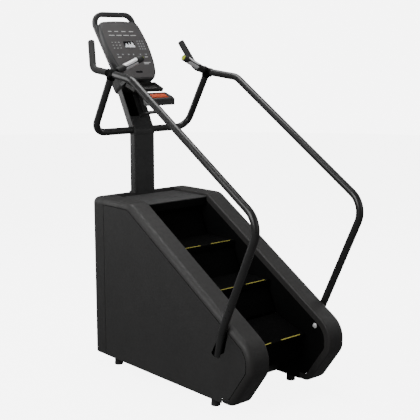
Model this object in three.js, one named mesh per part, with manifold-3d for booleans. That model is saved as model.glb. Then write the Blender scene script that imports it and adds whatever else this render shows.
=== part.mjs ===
import * as THREE from 'three';
import { mergeVertices } from 'three/addons/utils/BufferGeometryUtils.js';
import Module from 'manifold-3d';

// Stair climber: a motor-braked loop of steps between two covered side frames,
// with a mast, a console, two handrails and two pairs of hand grips.
// Millimetres. +X is the user's right, +Y is ahead of the user, +Z is up.
// The machine is laid out with y = 0 just ahead of the rear feet and the floor at
// FLOOR_Z, then moved so that the origin is on the floor under the middle of it all.

const wasm = await Module();
wasm.setup();

// ---------------------------------------------------------------- dimensions

const GAP = 0.4;                // clearance between pieces that touch
const SKIN = 4;                 // wall of the moulded covers
const FLOOR_Z = -8;

const PANEL_IN = 240;           // inner face of each side housing, from the middle
const PANEL_OUT = 380;          // outer face of each side housing
const COVER_BOTTOM = 60;        // lower edge of the side panels and front cover
const RIM_BOTTOM = 50;          // lower edge of the rim covers and inner panels
const COVER_TOP = 1057;
const NOSE_Y = -375;            // rearmost point of the side housings
const RIM_END_Y = -150;         // where the rim covers stop, under the nose
const SEAM_Y = 932;             // joint between the side housings and the front cover
const FRONT_Y = 1070;
const FRONT_CORNER = 60;
const SLOPE = 0.6224;           // rise of the housings' upper edge per mm of run
const SLOPE_TOP_Y = 676.7;      // where the sloping edge would meet the top
const RIM_ROUND = 38;           // outer edge radius of the rim covers
const RIM_SEAM = 38;            // depth of the seam below the rim
const RIM_LEG = 40;             // depth of the rim's inner leg
const RIM_EDGE = 8;             // inner edge radius

const RUN = 307;                // from one step's nose to the next, level
const RISE = 192;               // and upright
const TREAD = 246;              // nose to the back of the step surface
const HINGE_BACK = 256;         // nose to hinge
const TREAD_HALF = 228;
const TREAD_THICK = 24;
const LIP = 38;                 // height of the tread's nose
const HINGE_DROP = 18;          // hinge below the tread's top face
const HINGE_R = 8;
const HINGE_HALF = 254.6;
const NOSE_A = [403, 798];      // middle step's nose, y and z
const NOSE_C = [-194, 335];     // lowest step's nose
const TILT_C = 18.3;            // degrees, nose down

const RETURN_HINGES = [161.3, 523.4, 885.5]; // up the loop's lower run

const SPROCKET_R = 48;          // chain line on the sprockets
const CHAIN_HALF = 7;
const CHAIN_X = [255, 269];
const LOWER_AXLE = [37.6, 331.2];
const CHAIN_RUN = 1116.5;       // between the two axles
const AXLE_R = 15;
const CROSS_MEMBERS = [[15, 55], [450, 490], [878, 918]]; // y of each
const MEMBER_Z = [62, 100];
const KICK_PLATE_Y = [15, 19];
const KICK_PLATE_TOP = 220;    // passes under the returning treads' lips
const GENERATOR = [840, 250];   // generator and flywheel axis, y and z
const PULLEY_R = 66;
const SMALL_PULLEY_R = 22;
const PULLEY_X = [337, 351];

const RAIL_R = 22;              // handrails and handlebar frame
const HORN_R = 21;
const COLLAR_R = 26;
const PULSE_R = 20.5;
const PLATE_AT = [52, 158];     // contact plate, from the start of its grip
const MAST_HALF = 80;
const MAST_Y = [1000, 1053];
const MAST_TOP = 1425;          // where the mast starts to lean
const MAST_WALL = 4;
const BEAM_TOP = 1030;          // top of the beam the mast stands on
const MAST_LEAN = 27.2;         // degrees, upper mast from upright
const LEAN_LENGTH = 385;
const CHANNEL_OPEN_Z = 1545;    // the upper mast is open towards the user above this
const CONSOLE_AT = [0, 1070, 1850];
const CONSOLE_TILT = 55.12;     // degrees, console face from level
const HOOP_HALF = 16;           // half the thickness of the grab hoop
const TRAY_TILT = 22;
const STOP_TILT = 26.6;         // degrees, stop button's face

const rad = (degrees) => degrees * Math.PI / 180;
const STEP_PITCH = Math.hypot(RUN, RISE);
const UP = [RUN / STEP_PITCH, RISE / STEP_PITCH];       // along the stairs, y and z
const INTO = [UP[1], -UP[0]];                           // square to them, into the machine
const UPPER_AXLE = LOWER_AXLE.map((value, i) => value + CHAIN_RUN * UP[i]);
const NOSE_B = [NOSE_A[0] - RUN, NOSE_A[1] - RISE];
const NOSE_TOP = [NOSE_A[0] + RUN, NOSE_A[1] + RISE];

// Points of the handlebar work, for the user's right side
const HUB = [374, 821, 1815];
const HUB_REACH = 36;           // from the hub to where each bar starts
const RAIL_BEND_TOP = [408, 583, 1786];
const RAIL_BEND_LOW = [408, -466, 1105];
const RAIL_KNEE = [403, -178, 480];
const RAIL_END = [371, -112, 322];
const FRAME_CORNER = [371, 1028, 1452];
const HORN_ELBOW = [403, 972, 1840];
const HORN_TIP = [352, 1061, 2007];
const PULSE_TIP = [163, 803, 1905];

// ----------------------------------------------------------------- materials

const finish = (color, roughness, metalness) =>
  new THREE.MeshStandardMaterial({ color, roughness, metalness });
const coverBlack = finish(0x2a2a2a, 0.6, 0);
const innerBlack = finish(0x111111, 0.75, 0);
const frameBlack = finish(0x262626, 0.5, 0.3);
const railBlack = finish(0x2e2e2e, 0.45, 0.4);
const gripRubber = finish(0x343434, 0.85, 0);
const steel = finish(0x8c8c8c, 0.4, 0.9);
const polished = finish(0xd8d8d8, 0.2, 1);
const treadGrey = finish(0x1d1d1d, 0.8, 0);
const consoleGrey = finish(0x3a3a3a, 0.5, 0);
const overlayDark = finish(0x3d3b3b, 0.4, 0);
const smoke = finish(0x101010, 0.2, 0);
const lime = finish(0xbed228, 0.5, 0);
const orange = finish(0xf05a28, 0.4, 0);
const deckGrey = finish(0x4a4a4a, 0.7, 0);
const boardGreen = finish(0x1f5a36, 0.6, 0);

// ------------------------------------------------------------------- helpers

const machine = new THREE.Group();

function addNode(name, geometry, material, parent = machine) {
  const mesh = new THREE.Mesh(geometry, material);
  mesh.name = name;
  parent.add(mesh);
  return mesh;
}

function toSolid(geometry) {
  const bare = geometry.clone();
  bare.deleteAttribute('normal');
  bare.deleteAttribute('uv');
  const merged = mergeVertices(bare, 1e-3);
  return new wasm.Manifold(new wasm.Mesh({
    numProp: 3,
    vertProperties: Float32Array.from(merged.attributes.position.array),
    triVerts: Uint32Array.from(merged.index.array),
  }));
}

function toGeometry(solid) {
  const mesh = solid.getMesh();
  const geometry = new THREE.BufferGeometry();
  geometry.setAttribute('position', new THREE.BufferAttribute(mesh.vertProperties, 3));
  geometry.setIndex(new THREE.BufferAttribute(mesh.triVerts, 1));
  geometry.computeVertexNormals();
  return geometry;
}

function join(...pieces) {
  return toGeometry(pieces.map(toSolid).reduce((all, one) => all.add(one)));
}

function cut(base, ...tools) {
  return toGeometry(tools.reduce((left, tool) => left.subtract(toSolid(tool)), toSolid(base)));
}

function common(one, other) {
  return toGeometry(toSolid(one).intersect(toSolid(other)));
}

// Box between two x, two y and two z values
function block([x0, x1], [y0, y1], [z0, z1]) {
  const geometry = new THREE.BoxGeometry(x1 - x0, y1 - y0, z1 - z0);
  return geometry.translate((x0 + x1) / 2, (y0 + y1) / 2, (z0 + z1) / 2);
}

function shapeOf(points) {
  return new THREE.Shape(points.map(([a, b]) => new THREE.Vector2(a, b)));
}

// Outline in y and z, carried across from one x to another
function across(points, [x0, x1], holes = []) {
  const shape = shapeOf(points);
  shape.holes.push(...holes.map(shapeOf));
  const geometry = new THREE.ExtrudeGeometry(shape, { depth: x1 - x0, bevelEnabled: false });
  const turn = new THREE.Matrix4().set(0, 0, 1, x0, 1, 0, 0, 0, 0, 1, 0, 0, 0, 0, 0, 1);
  return geometry.applyMatrix4(turn);
}

// Round bar along x
function axle([x0, x1], [y, z], radius, sides = 20) {
  const geometry = new THREE.CylinderGeometry(radius, radius, x1 - x0, sides);
  return geometry.rotateZ(Math.PI / 2).translate((x0 + x1) / 2, y, z);
}

// Path through points with rounded corners: places and headings
function route(points, radius, steps = 5) {
  const at = points.map((p) => new THREE.Vector3(...p));
  const first = at[1].clone().sub(at[0]).normalize();
  const out = [{ place: at[0], heading: first }];
  for (let i = 1; i < at.length - 1; i += 1) {
    const before = at[i].clone().sub(at[i - 1]).normalize();
    const after = at[i + 1].clone().sub(at[i]).normalize();
    const turn = before.angleTo(after);
    const bend = Array.isArray(radius) ? radius[i - 1] : radius;
    const side = after.clone().addScaledVector(before, -Math.cos(turn)).normalize();
    const start = at[i].clone().addScaledVector(before, -bend * Math.tan(turn / 2));
    const centre = start.clone().addScaledVector(side, bend);
    for (let k = 0; k <= steps; k += 1) {
      const angle = turn * k / steps;
      out.push({
        place: centre.clone()
          .addScaledVector(side, -bend * Math.cos(angle))
          .addScaledVector(before, bend * Math.sin(angle)),
        heading: before.clone().multiplyScalar(Math.cos(angle))
          .addScaledVector(side, Math.sin(angle)),
      });
    }
  }
  const last = at.at(-1);
  out.push({ place: last, heading: last.clone().sub(at.at(-2)).normalize() });
  return out;
}

// An extrusion whose sections are moved on to a list of frames
function carry(shape, frames) {
  const steps = frames.length - 1;
  const geometry = new THREE.ExtrudeGeometry(shape, { depth: steps, steps, bevelEnabled: false });
  const place = geometry.attributes.position;
  const point = new THREE.Vector3();
  for (let i = 0; i < place.count; i += 1) {
    const { origin, right, up } = frames[Math.round(place.getZ(i))];
    point.copy(origin).addScaledVector(right, place.getX(i)).addScaledVector(up, place.getY(i));
    place.setXYZ(i, point.x, point.y, point.z);
  }
  return geometry;
}

function circle(radius, sides) {
  const corner = (_, k) => {
    const angle = 2 * Math.PI * k / sides;
    return [radius * Math.cos(angle), radius * Math.sin(angle)];
  };
  return shapeOf(Array.from({ length: sides }, corner));
}

// Frames along a route that turn as little as they can
function turningFrames(stations) {
  const right = new THREE.Vector3(1, 0, 0);
  if (Math.abs(stations[0].heading.x) > 0.9) right.set(0, 0, 1);
  return stations.map(({ place, heading }) => {
    right.addScaledVector(heading, -right.dot(heading)).normalize();
    const sideways = right.clone();
    return { origin: place, right: sideways, up: heading.clone().cross(sideways) };
  });
}

// Bar of round section through points with rounded corners
function bar(points, bend, radius, sides = 12, steps = 5) {
  return carry(circle(radius, sides), turningFrames(route(points, bend, steps)));
}

// Turned piece on an axis from one point towards another: profile of [radius, distance]
function turned(profile, from, towards, sides = 20) {
  const start = new THREE.Vector3(...from);
  const axis = new THREE.Vector3(...towards).sub(start).normalize();
  const geometry = new THREE.LatheGeometry(profile.map(([r, d]) => new THREE.Vector2(r, d)), sides);
  const turn = new THREE.Quaternion().setFromUnitVectors(new THREE.Vector3(0, 1, 0), axis);
  return geometry.applyQuaternion(turn).translate(...from);
}

const between = (a, b, distance) => {
  const start = new THREE.Vector3(...a);
  const way = new THREE.Vector3(...b).sub(start).normalize();
  return start.addScaledVector(way, distance).toArray();
};
const mirrored = (point, side) => [side * point[0], point[1], point[2]];
const span = (a, b) => [Math.min(a, b), Math.max(a, b)];
const shifted = (points, [dy, dz]) => points.map(([y, z]) => [y + dy, z + dz]);

// Handrail: from the clamp down the slope, round the end and into the side panel
function railBar(side, radius) {
  const start = between(HUB, RAIL_BEND_TOP, HUB_REACH + GAP);
  const points = [start, RAIL_BEND_TOP, RAIL_BEND_LOW, RAIL_KNEE, RAIL_END];
  return bar(points.map((point) => mirrored(point, side)), [110, 130, 90], radius, 14, 6);
}

// ------------------------------------------------- outline of a side housing

const slopeZ = (y) => COVER_TOP + SLOPE * (y - SLOPE_TOP_Y);
const OUTLINE = [
  [0, SEAM_Y, COVER_TOP],
  [0, SLOPE_TOP_Y, COVER_TOP],
  [0, NOSE_Y, slopeZ(NOSE_Y)],
  [0, NOSE_Y, 266],
  [0, -222, RIM_BOTTOM],
  [0, RIM_END_Y, RIM_BOTTOM],
];
const OUTLINE_BENDS = [90, 150, 95, 75];
const outline = route(OUTLINE, OUTLINE_BENDS, 6);

// The same outline, a given depth inside the housing, as y and z
function inset(depth) {
  return outline.map(({ place, heading }) =>
    [place.y - depth * heading.z, place.z + depth * heading.y]);
}

// Rim cover section: x and height above the rim's outer face
function rimSection(side) {
  const rounding = 6;
  const outer = [];
  const inner = [];
  for (let k = 0; k <= rounding; k += 1) {
    const angle = Math.PI / 2 * k / rounding;
    const x = PANEL_OUT - RIM_ROUND;
    outer.push([x + RIM_ROUND * Math.cos(angle), RIM_ROUND * (Math.sin(angle) - 1)]);
    inner.push([x + (RIM_ROUND - SKIN) * Math.cos(angle),
      (RIM_ROUND - SKIN) * Math.sin(angle) - RIM_ROUND]);
  }
  const edge = [
    [PANEL_IN + RIM_EDGE, 0],
    [PANEL_IN + RIM_EDGE * 0.3, -RIM_EDGE * 0.3],
    [PANEL_IN, -RIM_EDGE],
    [PANEL_IN, -RIM_LEG],
    [PANEL_IN + SKIN, -RIM_LEG],
    [PANEL_IN + SKIN, -RIM_EDGE],
    [PANEL_IN + RIM_EDGE, -SKIN],
  ];
  const points = [...outer, ...edge, ...inner.reverse()];
  return shapeOf(points.map(([x, y]) => [side * x, y]));
}

function rimFrames() {
  const right = new THREE.Vector3(1, 0, 0);
  return outline.map(({ place, heading }) =>
    ({ origin: place, right, up: heading.clone().cross(right) }));
}

// Closed outline of everything inside a given depth, ended at a front y; it drops to
// the rim's lower edge where the rim stops
function housingOutline(depth, frontY) {
  const path = inset(depth);
  path[0][0] = frontY;
  path.at(-1)[0] += GAP;
  path.push([RIM_END_Y + GAP, RIM_BOTTOM], [frontY, RIM_BOTTOM]);
  return path;
}

// Loop round both axles at a given radius
function loop(radius, arc = 10) {
  const start = Math.atan2(UP[1], UP[0]);
  const points = [];
  for (const [end, turn] of [[UPPER_AXLE, -0.5], [LOWER_AXLE, 0.5]]) {
    for (let k = 0; k <= arc; k += 1) {
      const angle = start + Math.PI * (turn + k / arc);
      points.push([end[0] + radius * Math.cos(angle), end[1] + radius * Math.sin(angle)]);
    }
  }
  return points;
}

// --------------------------------------------------------- covers and panels

const POCKET = {
  inner: [[-196, 460], [-168, 352], [-96, 308], [-62, 322], [-118, 420], [-160, 480]],
  outer: [[-201, 461], [-172, 346], [-97, 301], [-55, 318], [-113, 423], [-158, 486]],
};

for (const [label, side] of [['left', -1], ['right', 1]]) {
  addNode(`${label}_rim_cover`, carry(rimSection(side), rimFrames()), coverBlack);

  const outerX = span(side * (PANEL_OUT - SKIN), side * PANEL_OUT);
  const panel = inset(RIM_SEAM + GAP);
  panel[0][0] = SEAM_Y - GAP;
  panel.at(-1)[0] += GAP;
  panel.push([RIM_END_Y + GAP, COVER_BOTTOM], [SEAM_Y - GAP, COVER_BOTTOM]);

  // Recess in the panel that the handrail's lower end goes through
  const pocketBody = across(POCKET.outer, span(side * 354, side * (PANEL_OUT - SKIN / 2)));
  const pocketHollow = across(POCKET.inner, span(side * 358, side * 390));
  const tubeWay = railBar(side, RAIL_R + GAP);
  addNode(`${label}_side_panel`,
    cut(join(across(panel, outerX), pocketBody), pocketHollow, tubeWay), coverBlack);

  const innerX = span(side * PANEL_IN, side * (PANEL_IN + SKIN));
  const skirt = across(housingOutline(RIM_LEG + GAP, 990), innerX);
  const memberWays = CROSS_MEMBERS.map(([y0, y1]) =>
    block([-400, 400], [y0 - GAP, y1 + GAP], [MEMBER_Z[0] - GAP, MEMBER_Z[1] + GAP]));
  const slot = across(loop(SPROCKET_R + 14), span(side * (PANEL_IN - 5), side * (PANEL_IN + 10)));
  addNode(`${label}_inner_panel`, cut(skirt, slot, ...memberWays), innerBlack);
}

function frontCoverBlock(wall) {
  const x = PANEL_OUT - wall;
  const y = FRONT_Y - wall;
  const corner = FRONT_CORNER - wall;
  const crown = 40;
  const shape = new THREE.Shape();
  const inX = x - crown;
  const inY = y - crown;
  const inCorner = corner - crown;
  shape.moveTo(-inX, SEAM_Y - 100);
  shape.lineTo(inX, SEAM_Y - 100);
  shape.lineTo(inX, inY - inCorner);
  shape.absarc(inX - inCorner, inY - inCorner, inCorner, 0, Math.PI / 2);
  shape.absarc(-inX + inCorner, inY - inCorner, inCorner, Math.PI / 2, Math.PI);
  const geometry = new THREE.ExtrudeGeometry(shape, {
    depth: COVER_TOP - wall - crown, bevelThickness: crown, bevelSize: crown,
    bevelSegments: 4, curveSegments: 4,
  });
  return geometry;
}

{
  const behind = block([-500, 500], [SEAM_Y - 300, SEAM_Y + GAP], [-200, 1200]);
  const below = block([-500, 500], [700, 1200], [-200, COVER_BOTTOM]);
  const deckNotch = block([-PANEL_IN, PANEL_IN], [900, MAST_Y[0] - GAP], [1000, 1200]);
  const mastHole = block([-MAST_HALF - GAP, MAST_HALF + GAP],
    [MAST_Y[0] - 5, MAST_Y[1] + GAP], [1000, 1200]);
  const inletHole = block([-272, -228], [1050, 1090], [118, 142]);
  addNode('front_cover', cut(frontCoverBlock(0), frontCoverBlock(SKIN), behind, below,
    deckNotch, mastHole, inletHole), coverBlack);
}

{
  const width = [-PANEL_IN + GAP, PANEL_IN - GAP];
  const rearY = 675;
  const topZ = 1038;
  const lipBottom = 985;
  const thick = 6;
  const plate = block(width, [rearY, MAST_Y[0] - 2 * GAP], [topZ - thick, topZ]);
  const lip = block(width, [rearY, rearY + thick], [lipBottom, topZ - 2]);
  const grooves = [720, 790, 860, 930].map((y) =>
    block([-PANEL_IN + 20, PANEL_IN - 20], [y, y + thick], [topZ - 1.5, topZ + 10]));
  addNode('top_deck', cut(join(plate, lip), ...grooves), deckGrey);
}

{
  const flange = block([-276, -224], [FRONT_Y + GAP, FRONT_Y + 3], [114, 146]);
  const body = block([-271.5, -228.5], [FRONT_Y - 24, FRONT_Y + 1], [118.5, 141.5]);
  const well = block([-264, -236], [FRONT_Y - 16, FRONT_Y + 10], [121, 139]);
  const pins = [-257, -250, -243].map((x) =>
    block([x - 1, x + 1], [FRONT_Y - 18, FRONT_Y - 3], [127, 133]));
  addNode('power_inlet', join(cut(join(flange, body), well), ...pins), innerBlack);
}

{
  const cap = [[0, 0], [15, 0], [15, 2], [11, 5], [0, 6]];
  addNode('step_sensor', turned(cap, [PANEL_IN - GAP, -262, 399], [0, -262, 399], 20), polished);
}

// --------------------------------------------------------------- steel frame

const STEM_R = 8;
const FEET = [
  { label: 'rear_left', at: [-305, -19, 0] },
  { label: 'rear_right', at: [305, -19, 0] },
  { label: 'front_left', at: [-305, 898, 0] },
  { label: 'front_right', at: [305, 898, 0] },
];

{
  const [z0, z1] = MEMBER_Z;
  const pieces = [];
  for (const side of [-1, 1]) {
    const x = span(side * 285, side * 325);
    pieces.push(block(x, [-140, 1040], [z0, z1]));
    pieces.push(block(x, [1000, 1040], [z0, BEAM_TOP]));
    pieces.push(block(x, [-140, -100], [z0, 330]));
    pieces.push(block(span(side * 320, side * 348.5), [-134, -104], [286, 330]));
    pieces.push(block(x, [20, 60], [z0, 320]));
    pieces.push(block(x, [500, 540], [z0, 600]));
    const beam = [[-30, -26], [CHAIN_RUN + 10, -26], [CHAIN_RUN + 10, 26], [-30, 26]];
    const placed = beam.map(([along, off]) => [
      LOWER_AXLE[0] + along * UP[0] + off * INTO[0],
      LOWER_AXLE[1] + along * UP[1] + off * INTO[1],
    ]);
    pieces.push(across(placed, x));
  }
  pieces.push(...CROSS_MEMBERS.map((y) => block([-325, 325], y, [z0, z1])));
  pieces.push(block([-325, 325], [1000, 1040], [500, 540]));
  pieces.push(block([-325, 325], [MAST_Y[0], 1050], [995, BEAM_TOP]));
  pieces.push(block([248, 292], [800, 880], [z0, z1]));
  const kickPlate = block([-236, 236], KICK_PLATE_Y, [z1 - 2, KICK_PLATE_TOP]);
  pieces.push(kickPlate);
  const bores = [LOWER_AXLE, UPPER_AXLE].map((at) => axle([-400, 400], at, AXLE_R + GAP));
  for (const { at } of FEET) {
    bores.push(turned([[0, 0], [STEM_R + GAP, 0], [STEM_R + GAP, 80], [0, 80]],
      [at[0], at[1], z0 - 10], [at[0], at[1], 200], 16));
  }
  addNode('base_frame', cut(join(...pieces), ...bores), frameBlack);
}

for (const { label, at } of FEET) {
  const profile = [[0, FLOOR_Z], [27, FLOOR_Z], [27, 41], [23, 45], [STEM_R, 45], [STEM_R, 86],
    [0, 86]];
  addNode(`foot_${label}`, turned(profile, at, [at[0], at[1], 1], 16), gripRubber);
}

// ----------------------------------------------------------------- the steps

const TREAD_PROFILE = [[0, -LIP], [0, -2], [2, 0], [TREAD, 0], [TREAD, -10],
  [HINGE_BACK + 4, -10], [HINGE_BACK + 4, -TREAD_THICK], [9, -TREAD_THICK], [9, -LIP]];

function treadGeometry() {
  const plate = across(TREAD_PROFILE, [-TREAD_HALF, TREAD_HALF]);
  const rod = axle([-HINGE_HALF, HINGE_HALF], [HINGE_BACK, -HINGE_DROP], HINGE_R, 12);
  return join(plate, rod);
}

// Front face below a tread's nose, measured from that nose
const RISER_PROFILE = [[-60, -198], [9 + GAP, -44], [9 + GAP, -TREAD_THICK - GAP],
  [15, -TREAD_THICK - GAP], [15, -46], [-54, -198]];
const SHORT_RISER = [[-52.5, -181], ...RISER_PROFILE.slice(1, 5), [-46.5, -181]];
const HUNG_RISER = [[-29, -130], ...RISER_PROFILE.slice(1, 5), [-23, -130]];
const riserX = [-TREAD_HALF + 4, TREAD_HALF - 4];

for (const [label, nose, riser] of [['upper', NOSE_TOP, RISER_PROFILE],
  ['middle', NOSE_A, RISER_PROFILE], ['lower', NOSE_B, SHORT_RISER]]) {
  addNode(`${label}_tread`, treadGeometry().translate(0, ...nose), treadGrey);
  addNode(`${label}_riser`, across(shifted(riser, nose), riserX), treadGrey);
}

{
  const step = new THREE.Group();
  step.position.set(0, ...NOSE_C);
  step.rotation.x = rad(TILT_C);
  machine.add(step);
  addNode('bottom_tread', treadGeometry(), treadGrey, step);
  addNode('bottom_riser', across(HUNG_RISER, riserX), treadGrey, step);
}

// Three treads on their way back up, each trailing behind its hinge
for (const [i, along] of RETURN_HINGES.entries()) {
  const step = new THREE.Group();
  step.position.set(0, LOWER_AXLE[0] + along * UP[0] + SPROCKET_R * INTO[0],
    LOWER_AXLE[1] + along * UP[1] + SPROCKET_R * INTO[1]);
  step.rotation.x = Math.atan2(UP[1], UP[0]);
  machine.add(step);
  addNode(`return_tread_${i + 1}`, treadGeometry().translate(0, -HINGE_BACK, HINGE_DROP),
    treadGrey, step);
}

// ------------------------------------------------------------ chains and drive

for (const [label, side] of [['left', -1], ['right', 1]]) {
  const x = span(side * CHAIN_X[0], side * CHAIN_X[1]);
  addNode(`${label}_step_chain`, across(loop(SPROCKET_R + CHAIN_HALF), x,
    [loop(SPROCKET_R - CHAIN_HALF)]), steel);
}

function sprocket([x0, x1], at) {
  const teeth = 12;
  const points = [];
  for (let k = 0; k < teeth; k += 1) {
    for (const [share, radius] of [[0, 33], [0.3, 33], [0.55, 40.4], [0.75, 40.4]]) {
      const angle = 2 * Math.PI * (k + share) / teeth;
      points.push([at[0] + radius * Math.cos(angle), at[1] + radius * Math.sin(angle)]);
    }
  }
  return across(points, [x0, x1]);
}

{
  const sprockets = (at) => [[-267, -257], [257, 267]].map((x) => sprocket(x, at));
  const pulley = axle(PULLEY_X, UPPER_AXLE, PULLEY_R, 32);
  addNode('upper_axle', join(axle([-332, 353], UPPER_AXLE, AXLE_R),
    ...sprockets(UPPER_AXLE), pulley), steel);
  addNode('lower_axle', join(axle([-332, 332], LOWER_AXLE, AXLE_R),
    ...sprockets(LOWER_AXLE)), steel);
}

{
  const housing = axle([246, 292], GENERATOR, 80, 28);
  const foot = block([250, 290], [805, 875], [MEMBER_Z[1] + GAP, 200]);
  const bore = axle([250, 320], GENERATOR, 10 + GAP, 16);
  addNode('generator', cut(join(housing, foot), bore), steel);
  addNode('flywheel', join(axle([252, 352], GENERATOR, 10, 16),
    axle([298, 322], GENERATOR, 110, 32), axle(PULLEY_X, GENERATOR, SMALL_PULLEY_R, 20)), steel);
}

// Flat belt round the two pulleys
function beltOutline(rise) {
  const gap = [UPPER_AXLE[0] - GENERATOR[0], UPPER_AXLE[1] - GENERATOR[1]];
  const distance = Math.hypot(...gap);
  const facing = Math.atan2(gap[1], gap[0]);
  const open = Math.acos((PULLEY_R - SMALL_PULLEY_R) / distance);
  const points = [];
  const arc = 8;
  for (const [centre, radius, from, to] of [
    [UPPER_AXLE, PULLEY_R + rise, facing - open, facing + open],
    [GENERATOR, SMALL_PULLEY_R + rise, facing + open, facing - open + 2 * Math.PI]]) {
    for (let k = 0; k <= arc; k += 1) {
      const angle = from + (to - from) * k / arc;
      const reach = radius / Math.cos((to - from) / arc / 2);
      const use = k === 0 || k === arc ? radius : reach;
      points.push([centre[0] + use * Math.cos(angle), centre[1] + use * Math.sin(angle)]);
    }
  }
  return points;
}
addNode('drive_belt', across(beltOutline(4), [338, 350], [beltOutline(1)]), gripRubber);

{
  const casing = block([-210, -50], [1040 + GAP, 1060], [380, 560]);
  const vents = [400, 420, 440, 460, 480, 500, 520].map((z) =>
    block([-195, -65], [1055, 1065], [z, z + 8]));
  addNode('drive_controller', cut(casing, ...vents), steel);
}

// ------------------------------------------------------------------- the mast

const LEAN = [Math.sin(rad(MAST_LEAN)), Math.cos(rad(MAST_LEAN))];
{
  const outer = block([-MAST_HALF, MAST_HALF], MAST_Y, [BEAM_TOP + GAP, MAST_TOP]);
  const insideX = [-MAST_HALF + MAST_WALL, MAST_HALF - MAST_WALL];
  const inner = block(insideX, [MAST_Y[0] + MAST_WALL, MAST_Y[1] - MAST_WALL], [0, MAST_TOP + 10]);
  addNode('mast', cut(outer, inner), frameBlack);

  const foot = MAST_TOP + GAP;
  const straight = 8;           // upright length before the lean, at the front
  const leaned = (y, z) => [y + LEAN_LENGTH * LEAN[0], z + LEAN_LENGTH * LEAN[1]];
  const near = [MAST_Y[0], foot + straight + 26];
  const far = [MAST_Y[1], foot + straight];
  const bent = across([[MAST_Y[0], foot], [MAST_Y[1], foot], far, leaned(...far),
    leaned(...near), near], [-MAST_HALF, MAST_HALF]);
  const wall = MAST_WALL + 1;
  const insideTop = [leaned(far[0] - wall, far[1] + 60), leaned(near[0] + wall, near[1] + 60)];
  const hollow = across([[MAST_Y[0] + MAST_WALL, foot - 10], [MAST_Y[1] - MAST_WALL, foot - 10],
    [far[0] - wall, far[1]], ...insideTop, [near[0] + wall, near[1]]], insideX);
  const opening = block(insideX, [900, 1150], [CHANNEL_OPEN_Z, 1900]);
  const tubeWay = axle([-200, 200], [FRAME_CORNER[1], FRAME_CORNER[2]], RAIL_R + GAP, 20);
  const mounting = block([-60, 60], [-10, 40], [-150, -68 - 2 * GAP]);
  mounting.rotateX(rad(CONSOLE_TILT)).translate(...CONSOLE_AT);
  addNode('upper_mast', join(cut(bent, hollow, opening, tubeWay), mounting), frameBlack);
}

// ---------------------------------------------------------------- the console

const consoleGroup = new THREE.Group();
consoleGroup.position.set(...CONSOLE_AT);
consoleGroup.rotation.x = rad(CONSOLE_TILT);
machine.add(consoleGroup);

// Half outline of the console face: half width and height up the face
const FACE = [[0, -97], [70, -97], [101, -90], [124, -62], [139, -31], [155, 30], [164, 92],
  [168, 154], [166, 216], [159, 280], [150, 320], [130, 340], [60, 348], [0, 350]];

function faceOutline(less) {
  const half = FACE.map(([x, y]) => {
    const centreY = 120;
    const reach = Math.hypot(x, y - centreY);
    const keep = (reach - less) / reach;
    return [x * keep, centreY + (y - centreY) * keep];
  });
  const other = half.slice(1, -1).reverse().map(([x, y]) => [-x, y]);
  return [...half, ...other];
}

const facePlate = (less, [w0, w1]) =>
  new THREE.ExtrudeGeometry(shapeOf(faceOutline(less)), { depth: w1 - w0, bevelEnabled: false })
    .translate(0, 0, w0);

{
  const front = cut(facePlate(0, [-31, 0]), facePlate(5, [-32, -5]));
  const windowHole = block([-30, 52], [140, 188], [-10, 5]);
  addNode('console_front_shell', cut(front, windowHole), consoleGrey, consoleGroup);
  addNode('console_rear_shell', cut(facePlate(40, [-68, -31 - GAP]), facePlate(44, [-63, 0])),
    coverBlack, consoleGroup);
  addNode('console_board', block([-115, 115], [-20, 250], [-24, -20]), boardGreen, consoleGroup);
  const face = facePlate(12, [GAP, 1.6]);
  addNode('console_overlay', cut(face, block([-30, 52], [140, 188], [-10, 5])), overlayDark,
    consoleGroup);
  addNode('display_window', block([-29.5, 51.5], [140.5, 187.5], [-4, 1.4]), smoke, consoleGroup);

  // Neck cover that takes the upper mast
  const neck = across([[-86, -68 - GAP], [-86, -205], [-70, -212], [40, -205], [70, -180],
    [118, -68 - GAP]], [-92, 92]);
  const inside = across([[-100, -60], [-100, -199], [-68, -206], [37, -199], [64, -176],
    [112, -60]], [-86, 86]);
  const chin = across([[-64, -100], [-64, -36], [-84, -36], [-92, -44], [-92, -66], [-86, -100]],
    [-104, 104]);
  addNode('console_neck', join(cut(neck, inside), chin), coverBlack, consoleGroup);

  // Grab hoop down both sides and over the top of the console
  const legs = [[147, -12, -47.8], [150, 345, -47.8], [150, 410, -20]];
  const hoop = [...legs, ...[...legs].reverse().map(([x, y, z]) => [-x, y, z])];
  const half = HOOP_HALF;
  const section = shapeOf([[-half, -half + 7], [-half + 7, -half], [half - 7, -half],
    [half, -half + 7], [half, half - 7], [half - 7, half], [-half + 7, half], [-half, half - 7]]);
  addNode('grab_hoop', carry(section, turningFrames(route(hoop, [40, 62, 62, 40], 5))),
    coverBlack, consoleGroup);
}

// Tray for a phone, tipped towards the user and held from the neck cover
{
  const tray = new THREE.Group();
  tray.position.set(0, 995, 1715);
  tray.rotation.x = rad(TRAY_TILT);
  machine.add(tray);
  const box = block([-114, 114], [-48, 48], [-6, 18]);
  const hollow = block([-109, 109], [-43, 43], [-1, 30]);
  const bracket = across([[47, -6], [76.6, -6], [68.8, 6], [47, 6]], [-40, 40]);
  addNode('accessory_tray', join(cut(box, hollow), bracket), coverBlack, tray);
}

// --------------------------------------------------------- emergency stop bar

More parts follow.
